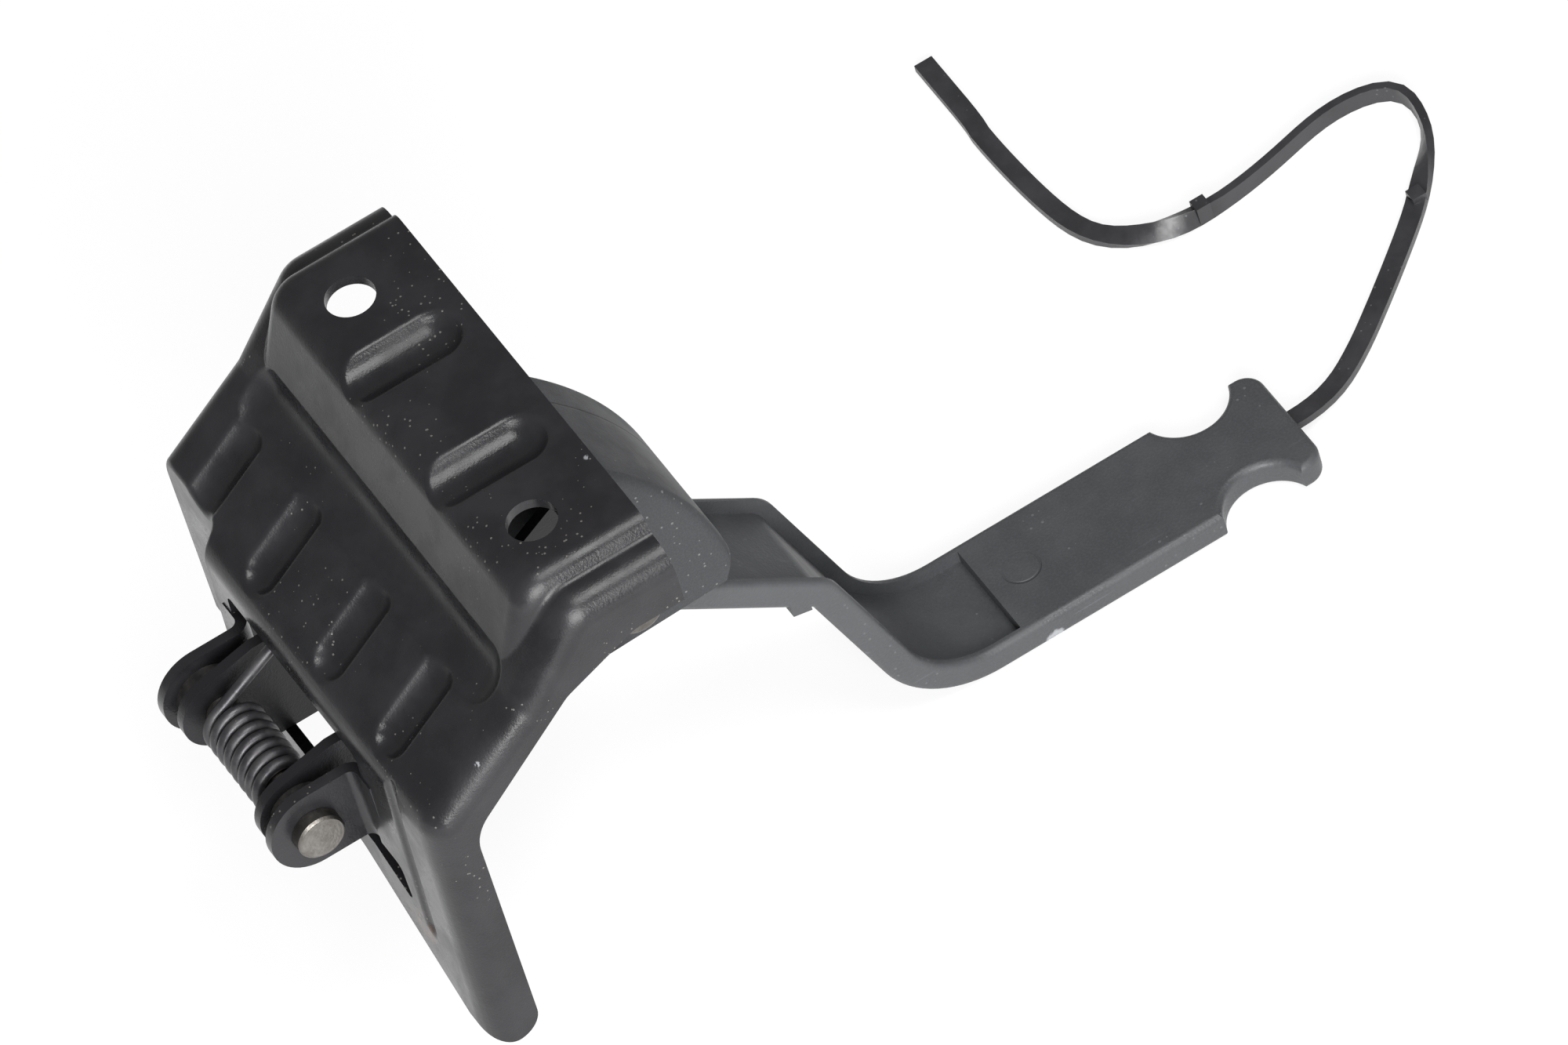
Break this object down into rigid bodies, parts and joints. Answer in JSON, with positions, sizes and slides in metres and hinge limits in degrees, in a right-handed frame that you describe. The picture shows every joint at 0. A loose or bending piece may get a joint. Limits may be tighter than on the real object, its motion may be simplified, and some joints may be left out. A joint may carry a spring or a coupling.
{
  "type": "hood safety catch",
  "caption": "Sprung hood safety catch: pressed steel bracket with guide finger, channel lever on a riveted pin, moulded release handle and flat pull strap.",
  "frame": {"origin": "midpoint between the bolt holes on the top face of the bracket's flange", "axes": "+Z out of the flange's top face, along the bolts; +X along the pivot pin, towards the guide finger; +Y forward, towards the handle"},
  "size_m": [0.1585, 0.2459, 0.1149],
  "materials": {
    "coated_steel": "glossy",
    "grey_steel": "matte",
    "bare_steel": "satin",
    "spring_steel": "satin",
    "handle_plastic": "matte",
    "strap_plastic": "glossy"
  },
  "bodies": {
    "bracket": {"bracket": "coated_steel", "pivot_pin": "bare_steel", "washer_near": "coated_steel", "washer_far": "coated_steel", "torsion_spring": "spring_steel"},
    "lever": {"lever": "grey_steel", "handle": "handle_plastic", "handle_stud_rear": "bare_steel", "handle_stud_front": "bare_steel", "pull_strap": "strap_plastic"}
  },
  "joints": [
    {"name": "lever_pivot", "type": "hinge", "parent": "bracket", "child": "lever", "pos_m": [0, -0.0477, -0.051], "axis": [1, 0, 0], "range_deg": [0, 10], "stiffness_Nm_per_rad": 0.6, "springref_deg": -34.38, "deforming": ["torsion_spring"]}
  ]
}
